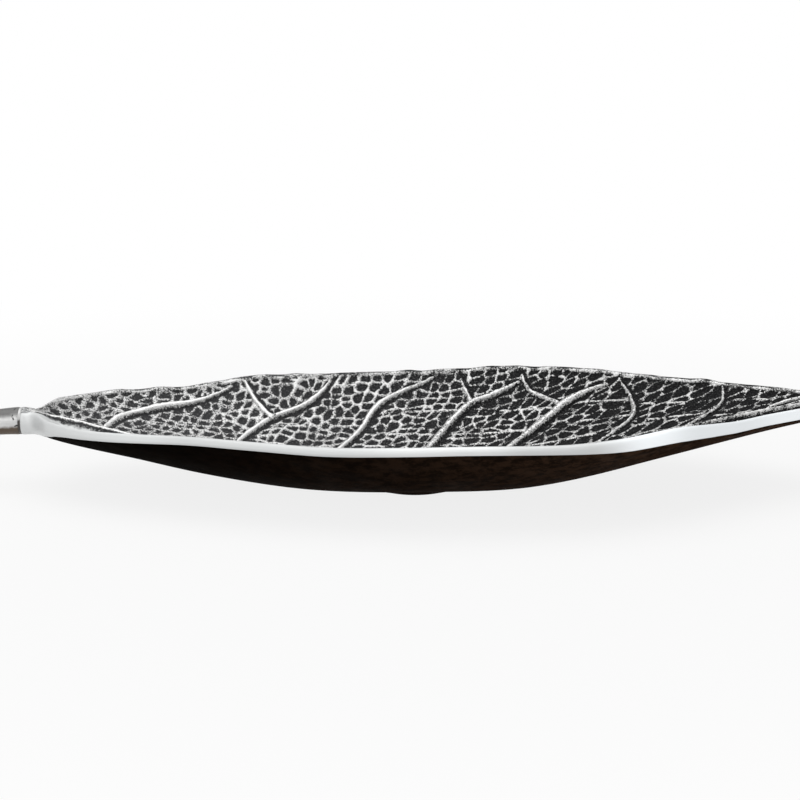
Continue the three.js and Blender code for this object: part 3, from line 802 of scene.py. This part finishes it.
class Nodes:
    """A short way to lay out the nodes of a material or of the world."""

    def __init__(self, tree):
        self.tree = tree

    def add(self, kind, **settings):
        """A new node with its settings."""
        node = self.tree.nodes.new(kind)
        for name, value in settings.items():
            setattr(node, name, value)
        return node

    def link(self, value, socket):
        """Joins another node's output to a socket, or sets the socket to a plain value."""
        if isinstance(value, bpy.types.NodeSocket):
            self.tree.links.new(value, socket)
        else:
            socket.default_value = value

    def axis(self, place, name):
        """One coordinate of a place."""
        node = self.add("ShaderNodeSeparateXYZ")
        self.link(place, node.inputs[0])
        return node.outputs[name]

    def math(self, operation, a, b):
        node = self.add("ShaderNodeMath", operation=operation)
        self.link(a, node.inputs[0])
        self.link(b, node.inputs[1])
        return node.outputs[0]

    def plus(self, a, b):
        return self.math("ADD", a, b)

    def less(self, a, b):
        return self.math("SUBTRACT", a, b)

    def times(self, a, b):
        return self.math("MULTIPLY", a, b)

    def ramp(self, value, low, high, start=0.0, end=1.0, ease="SMOOTHSTEP"):
        """From start to end, while the value goes from low to high."""
        node = self.add("ShaderNodeMapRange", interpolation_type=ease)
        given = {"Value": value, "From Min": low, "From Max": high, "To Min": start, "To Max": end}
        for name, each in given.items():
            self.link(each, node.inputs[name])
        return node.outputs["Result"]

    def shown_rays(self):
        """1 for rays from the camera, from gloss and through glass, and 0 for the rest."""
        rays = self.add("ShaderNodeLightPath").outputs
        seen = self.math("MAXIMUM", rays["Is Camera Ray"], rays["Is Glossy Ray"])
        return self.math("MAXIMUM", seen, rays["Is Transmission Ray"])


class Shader(Nodes):
    """A piece's material, laid out on the piece's own coordinates."""

    def __init__(self, name):
        self.material = bpy.data.materials.new(name)
        self.material.use_nodes = True
        super().__init__(self.material.node_tree)
        self.surface = self.tree.nodes["Principled BSDF"]
        self.place = self.add("ShaderNodeTexCoord").outputs["Object"]

    def mark(self, name):
        """A mark that the mesh carries."""
        return self.add("ShaderNodeAttribute", attribute_name=name).outputs["Fac"]

    def noise(self, scale, detail, roughness, stretch=(1, 1, 1)):
        """Noise with so many bumps to the metre, drawn out along an axis by a small stretch."""
        mapping = self.add("ShaderNodeMapping")
        mapping.inputs["Scale"].default_value = stretch
        self.link(self.place, mapping.inputs["Vector"])
        node = self.add("ShaderNodeTexNoise")
        self.link(mapping.outputs["Vector"], node.inputs["Vector"])
        node.inputs["Scale"].default_value = scale
        node.inputs["Detail"].default_value = detail
        node.inputs["Roughness"].default_value = roughness
        return node.outputs["Fac"]

    def between(self, share, a, b, data="FLOAT", sockets="VALUE"):
        """From value a to value b."""
        node = self.add("ShaderNodeMix", data_type=data)
        self.link(share, node.inputs["Factor"])
        for value, name in ((a, "A"), (b, "B")):
            self.link(value, next(s for s in node.inputs if s.name == name and s.type == sockets))
        return next(s for s in node.outputs if s.type == sockets)

    def blend(self, share, a, b):
        """From colour a to colour b."""
        a, b = (c if isinstance(c, bpy.types.NodeSocket) else (*c, 1) for c in (a, b))
        return self.between(share, a, b, "RGBA", "RGBA")

    def bump(self, height, strength, distance):
        node = self.add("ShaderNodeBump")
        self.link(height, node.inputs["Height"])
        self.link(strength, node.inputs["Strength"])
        node.inputs["Distance"].default_value = distance
        self.link(node.outputs["Normal"], self.surface.inputs["Normal"])

    def finish(self, color, metallic, roughness):
        self.link(color, self.surface.inputs["Base Color"])
        self.link(metallic, self.surface.inputs["Metallic"])
        self.link(roughness, self.surface.inputs["Roughness"])
        return self.material


def shade(color, factor):
    """A colour made lighter or darker."""
    return tuple(min(1.0, c * factor) for c in color)


def antique_silver(finish):
    """Cast aluminium: dark patina in the pits, worn silver ridges, polished rim, lacquered underside."""
    shader = Shader("antique_silver")
    bright, below, polish = (shader.mark(name) for name in ("bright", "below", "polish"))
    length = shader.axis(shader.place, "X")
    grain = shader.ramp(shader.noise(1300, 5, 0.75), 0.34, 0.66)
    fleck = shader.noise(2600, 2, 0.6)
    drift = shader.noise(90, 3, 0.6)
    mottle = shader.noise(55, 4, 0.7)

    # Wear frays the ridges: less in the pits, on the rim and on the crests near the heel
    speck = shader.ramp(shader.noise(1500, 3, 0.7), 0.55, 0.66, 0, 0.7)
    wear = shader.less(shader.times(shader.less(grain, 0.44), 1.3), speck)
    wear = shader.times(wear, shader.ramp(bright, 0.05, 0.4, 0.5, 1.0))
    wear = shader.times(wear, shader.between(polish, 1.0, 0.12))
    wear = shader.times(wear, shader.ramp(length, 0.0, 0.1, 0.97, 0.8))
    crest = shader.ramp(bright, 0.88, 1.0)
    smooth = shader.times(crest, shader.ramp(length, -0.02, 0.03, 0.3, 0.0))
    wear = shader.times(wear, shader.less(1.0, smooth))
    # Dark specks break the shine of the crests in the tip's half
    sparkle = shader.ramp(shader.noise(800, 3, 0.7), 0.53, 0.4, 0, 0.85)
    sparkle = shader.times(sparkle, shader.times(crest, shader.ramp(length, -0.02, 0.03)))
    wear = shader.less(wear, shader.times(sparkle, shader.between(polish, 1.0, 0.0)))
    lit = shader.ramp(shader.plus(bright, wear), 0.16, 0.68)

    # Silver on the ridges, and the rim's painted light: lighter and darker tones along it, and a painted
    # bluish highlight towards the tip
    silver = shader.blend(drift, shade(finish.silver, 0.8), shade(finish.silver, 0.96))
    silver = shader.blend(crest, silver, shade(finish.silver, 1.1))
    rim = shade(finish.rim, RIM_HEEL_LIGHT)
    for start, end, tone, factor in RIM_PAINTED_LIGHT:
        rim = shader.blend(shader.ramp(length, start, end), rim, shade(getattr(finish, tone), factor))
    silver = shader.blend(polish, silver, rim)

    # Patina in the pits: greyer at the heel, darker towards the tip
    patina = shader.blend(grain, shade(finish.patina, 0.55), shade(finish.patina, 1.9))
    patina = shader.blend(shader.ramp(length, -0.1, 0.05), shade(finish.patina, 2.3), patina)
    patina = shader.blend(shader.ramp(length, 0.0, 0.12, 0, 0.45), patina, shade(finish.patina, 0.3))
    face = shader.blend(lit, patina, silver)

    # Lacquer on the underside, browner towards the tip
    stain = shader.ramp(shader.noise(150, 4, 0.7), 0.38, 0.62, 0.25, 1)
    brown = shader.times(stain, shader.ramp(length, -0.1, 0.13, 0.05, 1.0))
    lacquer = shader.blend(brown, finish.underside[:], finish.brown[:])
    dark = shader.ramp(shader.plus(below, shader.times(shader.less(mottle, 0.5), 0.25)), 0.4, 0.6)

    color = shader.blend(dark, face, lacquer)
    metal = shader.times(lit, shader.less(1.0, dark))
    rough = shader.between(polish, shader.ramp(grain, 0, 1, 0.26, 0.42), 0.55)
    rough = shader.between(lit, 0.62, rough)
    rough = shader.between(dark, rough, shader.ramp(mottle, 0.3, 0.7, 0.7, 0.9))
    height = shader.plus(shader.noise(900, 4, 0.6), shader.times(fleck, 0.4))
    shader.bump(height, shader.between(polish, 0.34, 0.05), 0.0004)
    shader.surface.inputs["Specular IOR Level"].default_value = 0.005
    return shader.finish(color, metal, rough)


def stem_silver(finish):
    """Cast stem with drawn marks and a few pits: bright sides, painted shade in grey above, and painted shade
    with a painted brown reflection below.
    """
    shader = Shader("stem_silver")
    streak = shader.noise(260, 4, 0.6, (0.12, 1, 1))
    grain = shader.noise(1500, 3, 0.6)
    mottle = shader.noise(120, 3, 0.6)
    pit = shader.ramp(shader.plus(shader.noise(650, 2, 0.5), shader.mark("pitted")), 0.66, 0.74)
    tone = shader.ramp(streak, 0.35, 0.65)
    tone = shader.blend(tone, shade(finish.silver, 0.85), shade(finish.silver, 1.1))
    # Painted shade round the stem: grey on top, and darker brown below as a painted reflection
    around = shader.plus(shader.mark("upward"), shader.times(shader.less(mottle, 0.5), 0.5))
    tone = shader.blend(shader.ramp(around, 0.3, 0.75), tone, finish.stem_top_shade[:])
    tone = shader.blend(shader.ramp(around, -0.12, -0.42), tone, finish.stem_low_shade[:])
    color = shader.blend(pit, tone, finish.patina[:])
    height = shader.less(shader.plus(streak, shader.times(grain, 0.5)), pit)
    shader.bump(height, 0.2, 0.0004)
    metal = shader.less(1.0, shader.times(pit, 0.7))
    return shader.finish(color, metal, shader.ramp(grain, 0.3, 0.7, 0.36, 0.5))


def dull_filler(finish):
    """Braze filler: dull grey metal, oxidised in blotches, and darker towards the bottom."""
    shader = Shader("dull_filler")
    blotch = shader.noise(500, 4, 0.65)
    middle = (SEAM_LOW.z + SEAM_HIGH.z) / 2
    low = shader.ramp(shader.axis(shader.place, "Z"), middle - 0.001, middle + 0.004, 0.35, -0.35)
    dull = shader.ramp(shader.plus(blotch, low), 0.4, 0.7)
    color = shader.blend(dull, shade(finish.silver, 0.75), finish.filler[:])
    shader.bump(blotch, 0.4, 0.0003)
    return shader.finish(color, shader.less(1.0, dull), shader.ramp(blotch, 0.3, 0.7, 0.35, 0.5))


def drawn_steel(finish):
    """Bright steel pin with fine marks along it."""
    shader = Shader("drawn_steel")
    streak = shader.noise(900, 3, 0.6, (0.08, 1, 1))
    color = shader.blend(streak, finish.steel[:], finish.steel_bright[:])
    shader.bump(streak, 0.15, 0.0002)
    return shader.finish(color, 1.0, shader.ramp(streak, 0.3, 0.7, 0.25, 0.42))


def pressed_felt(finish):
    """Felt: short tangled fibres in slightly different tones."""
    shader = Shader("pressed_felt")
    fibre = shader.noise(1800, 5, 0.75, (1, 0.45, 1))
    clump = shader.noise(300, 3, 0.6)
    color = shader.blend(fibre, shade(finish.felt, 0.5), shade(finish.felt, 1.8))
    color = shader.blend(shader.ramp(clump, 0.4, 0.7, 0, 0.35), color, shade(finish.felt, 2.6))
    shader.bump(shader.plus(fibre, clump), 0.7, 0.0005)
    shader.surface.inputs["Sheen Weight"].default_value = 0.1
    return shader.finish(color, 0.0, shader.ramp(fibre, 0.3, 0.7, 0.85, 1.0))


class LEAFTRAY_OT_dish(bpy.types.Operator):
    """Cast the dish: blade, rim, heel, foot, veins and pebbled face"""

    bl_idname = "leaf_tray.dish"
    bl_label = "Leaf Dish"

    def execute(self, context):
        leaf = Leaf(context.scene.leaf_sizes)
        dish = cast("leaf_casting", *dish_sections(leaf))
        thin = dish.modifiers.new("thin", "DECIMATE")
        triangles = sum(len(p.vertices) - 2 for p in dish.data.polygons)
        thin.ratio = min(1.0, MOST_TRIANGLES / triangles)
        kept = bpy.data.meshes.new_from_object(dish.evaluated_get(context.evaluated_depsgraph_get()))
        kept.name = "leaf_casting"
        dish.modifiers.clear()
        dish.data = kept
        dish.data.materials.append(antique_silver(context.scene.tray_finish))
        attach(dish, "root")
        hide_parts("leaf_dish")
        return {"FINISHED"}


class LEAFTRAY_OT_stem(bpy.types.Operator):
    """Cast the stem that droops away from the heel"""

    bl_idname = "leaf_tray.stem"
    bl_label = "Stem"

    def execute(self, context):
        radius = (STEM_HIGH.y - STEM_LOW.y) / 2
        seam_z = (SEAM_LOW.z + SEAM_HIGH.z) / 2
        droop = seam_z - radius - STEM_LOW.z
        t = np.linspace(0, 1, STEM_RINGS)[:, None]
        turn = np.linspace(0, 2 * math.pi, STEM_SIDES, endpoint=False)[None, :]
        waist = mix(1, 0.88, np.sin(math.pi * t))
        ends = 1 - np.where(t > 0.5, 0.02, 0.06) * (1 - step(0, 0.02, np.minimum(t, 1 - t)))
        ripple = 1 + 0.018 * (cloud(turn * 2.2, t * 5, "stem") - 0.5) + 0.012 * np.cos(5 * turn + 4 * t)
        fade = step(0, 0.12, np.minimum(t, 1 - t))
        size = radius * waist * ends * mix(1, ripple, fade)
        x = mix(STEM_LOW.x, STEM_HIGH.x, t) * np.ones_like(turn)
        z = seam_z - droop * (1 - t) ** 1.6 + size * np.sin(turn)
        place = np.stack([x, size * np.cos(turn), z], axis=-1)
        stem = cast("stem_casting", place, {
            "upward": np.sin(turn) * np.ones_like(t),
            "pitted": mix(-0.1, 0.04, step(0.8, 0.95, t)) * np.ones_like(turn),
        })
        stem.data.materials.append(stem_silver(context.scene.tray_finish))
        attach(stem, "root")
        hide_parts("stem")
        return {"FINISHED"}


class LEAFTRAY_OT_joint(bpy.types.Operator):
    """Finish the joint: the ring of braze filler and the pin inside it"""

    bl_idname = "leaf_tray.joint"
    bl_label = "Stem Joint"

    def execute(self, context):
        for node, material in (("braze_seam", dull_filler), ("stem_dowel", drawn_steel)):
            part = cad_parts[node]
            part.data.materials.clear()
            part.data.materials.append(material(context.scene.tray_finish))
        return {"FINISHED"}


class LEAFTRAY_OT_felt(bpy.types.Operator):
    """Lay the felt pad under the foot"""

    bl_idname = "leaf_tray.felt"
    bl_label = "Felt Pad"

    def execute(self, context):
        radius = (FELT_HIGH.x - FELT_LOW.x) / 2
        tall = FELT_HIGH.z - FELT_LOW.z
        bm = bmesh.new()
        bmesh.ops.create_circle(bm, cap_ends=True, radius=radius, segments=FELT_SIDES)
        lifted = bmesh.ops.extrude_face_region(bm, geom=bm.faces[:])
        top = [v for v in lifted["geom"] if isinstance(v, bmesh.types.BMVert)]
        bmesh.ops.translate(bm, verts=top, vec=(0, 0, tall))
        bmesh.ops.recalc_face_normals(bm, faces=bm.faces)
        rims = [e for e in bm.edges if abs(e.verts[0].co.z - e.verts[1].co.z) < 1e-9]
        bmesh.ops.bevel(bm, geom=rims, offset=0.35 * MM, offset_type="OFFSET", affect="EDGES", segments=3,
                        profile=0.5, material=-1)
        bmesh.ops.translate(bm, verts=bm.verts, vec=((FELT_LOW.x + FELT_HIGH.x) / 2, 0, FELT_LOW.z))
        felt = object_of(bm, "felt_disc")
        felt.data.materials.append(pressed_felt(context.scene.tray_finish))
        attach(felt, "root")
        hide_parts("felt_pad")
        return {"FINISHED"}


class LEAFTRAY_OT_stage(bpy.types.Operator):
    """Set up the floor, the light and the camera"""

    bl_idname = "leaf_tray.stage"
    bl_label = "Stage"

    def execute(self, context):
        stage = context.scene.tray_stage
        self.floor(stage)
        self.world(context, stage)
        self.lamps(context)
        self.camera(context, stage)
        context.scene.view_settings.view_transform = "Standard"
        return {"FINISHED"}

    def floor(self, stage):
        bm = bmesh.new()
        bmesh.ops.create_grid(bm, x_segments=2, y_segments=2, size=8)
        bmesh.ops.translate(bm, verts=bm.verts, vec=(0, 0, CAD_BOX[0][2] - 0.05 * MM))
        floor = object_of(bm, "floor")
        material = bpy.data.materials.new("pale_floor")
        material.use_nodes = True
        nodes = Nodes(material.node_tree)
        nodes.tree.nodes.clear()
        paint = nodes.add("ShaderNodeBsdfDiffuse")
        paint.inputs["Color"].default_value = (*stage.floor, 1)
        glow = nodes.add("ShaderNodeEmission")
        reach = nodes.add("ShaderNodeVectorMath", operation="LENGTH")
        nodes.link(nodes.add("ShaderNodeTexCoord").outputs["Object"], reach.inputs[0])
        far = nodes.ramp(reach.outputs["Value"], stage.glow_start, stage.glow_full, stage.floor_glow)
        both = nodes.add("ShaderNodeMixShader")
        nodes.link(nodes.times(nodes.shown_rays(), far), both.inputs[0])
        nodes.link(paint.outputs[0], both.inputs[1])
        nodes.link(glow.outputs[0], both.inputs[2])
        nodes.link(both.outputs[0], nodes.add("ShaderNodeOutputMaterial").inputs["Surface"])
        floor.data.materials.append(material)

    def world(self, context, stage):
        world = bpy.data.worlds.new("studio")
        context.scene.world = world
        world.use_nodes = True
        nodes = Nodes(world.node_tree)
        ground = nodes.tree.nodes["Background"]
        ground.inputs["Color"].default_value = (1, 1, 1, 1)
        up = nodes.axis(nodes.add("ShaderNodeTexCoord").outputs["Generated"], "Z")
        sky = nodes.ramp(up, 0.25, 1.0, 1.0, stage.sky_top, "LINEAR")
        strength = nodes.ramp(nodes.shown_rays(), 0.0, 1.0, stage.sky_light, sky, "LINEAR")
        nodes.link(strength, ground.inputs["Strength"])

    def lamps(self, context):
        for name, place, size, power in (
            ("overhead", (-0.1, 0.1, 1.2), 1.6, 7.0),
            ("front_left", (-1.0, -1.1, 0.8), 0.9, 2.0),
        ):
            lamp = bpy.data.lights.new(name, "AREA")
            lamp.shape = "DISK"
            lamp.size = size
            lamp.energy = power
            holder = bpy.data.objects.new(name, lamp)
            holder.location = place
            holder.rotation_euler = (-Vector(place)).to_track_quat("-Z", "Y").to_euler()
            context.scene.collection.objects.link(holder)

    def camera(self, context, stage):
        lens = bpy.data.cameras.new("camera")
        lens.sensor_fit = "HORIZONTAL"
        lens.angle = stage.camera_width
        camera = bpy.data.objects.new("camera", lens)
        camera.location = (stage.camera_side, -stage.camera_distance, stage.camera_height)
        camera.rotation_euler = (math.pi / 2 - stage.camera_tilt, 0, 0)
        context.scene.collection.objects.link(camera)
        context.scene.camera = camera


class LEAFTRAY_PT_panel(bpy.types.Panel):
    """The tray's pieces, in the order in which they are made"""

    bl_idname = "LEAFTRAY_PT_panel"
    bl_label = "Leaf Tray"
    bl_space_type = "VIEW_3D"
    bl_region_type = "UI"
    bl_category = "Leaf Tray"

    def draw(self, context):
        for maker in MAKERS:
            self.layout.operator(maker.bl_idname)
        for group in (context.scene.leaf_sizes, context.scene.tray_finish, context.scene.tray_stage):
            box = self.layout.box()
            for name in group.__annotations__:
                box.prop(group, name)


MAKERS = (LEAFTRAY_OT_stage, LEAFTRAY_OT_dish, LEAFTRAY_OT_stem, LEAFTRAY_OT_joint, LEAFTRAY_OT_felt)
CLASSES = (LeafSizes, TrayFinish, TrayStage, *MAKERS, LEAFTRAY_PT_panel)


def register():
    for kind in CLASSES:
        bpy.utils.register_class(kind)
    bpy.types.Scene.leaf_sizes = bpy.props.PointerProperty(type=LeafSizes)
    bpy.types.Scene.tray_finish = bpy.props.PointerProperty(type=TrayFinish)
    bpy.types.Scene.tray_stage = bpy.props.PointerProperty(type=TrayStage)


def unregister():
    del bpy.types.Scene.leaf_sizes
    del bpy.types.Scene.tray_finish
    del bpy.types.Scene.tray_stage
    for kind in reversed(CLASSES):
        bpy.utils.unregister_class(kind)


def main():
    register()
    bpy.ops.leaf_tray.stage()
    bpy.ops.leaf_tray.dish()
    bpy.ops.leaf_tray.stem()
    bpy.ops.leaf_tray.joint()
    bpy.ops.leaf_tray.felt()


if __name__ == "__main__":
    main()
